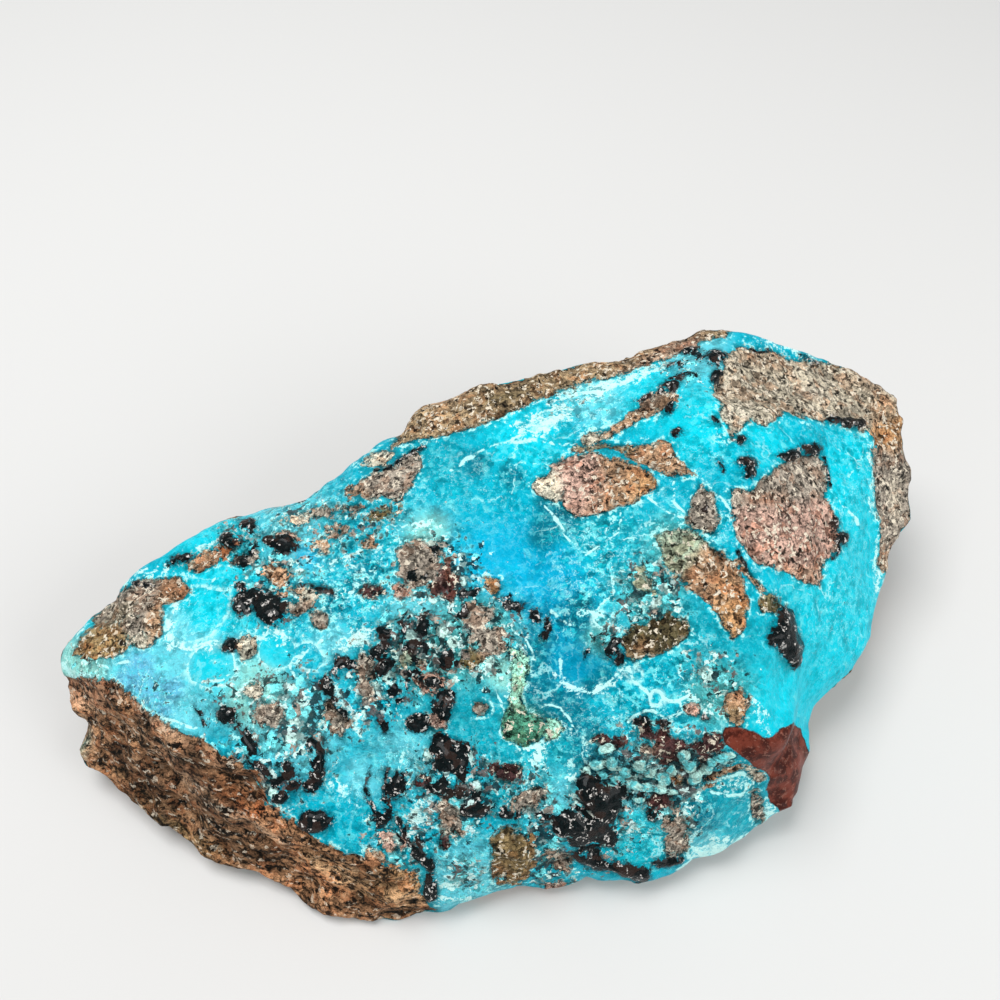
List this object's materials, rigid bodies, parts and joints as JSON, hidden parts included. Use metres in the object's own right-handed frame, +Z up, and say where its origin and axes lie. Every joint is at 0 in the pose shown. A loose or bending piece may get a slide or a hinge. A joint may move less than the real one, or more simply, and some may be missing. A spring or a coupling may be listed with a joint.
{
  "type": "raw chrysocolla stone",
  "caption": "Rough broken stone with a ridged blue-green crusted upper face, a layered brown wall and a flat underside to rest on.",
  "frame": {"origin": "centre of the bounding box, on the resting face", "axes": "+X along the length, from the low layered tip to the high end; +Y away from the side with the layered wall; +Z up from the resting face"},
  "size_m": [0.0844, 0.052, 0.0256],
  "materials": {
    "chrysocolla_crust": "waxy to glossy blue-green crust with rough brown host rock and black oxide knobs"
  },
  "bodies": {
    "root": {"chrysocolla_stone": "chrysocolla_crust"}
  },
  "joints": []
}
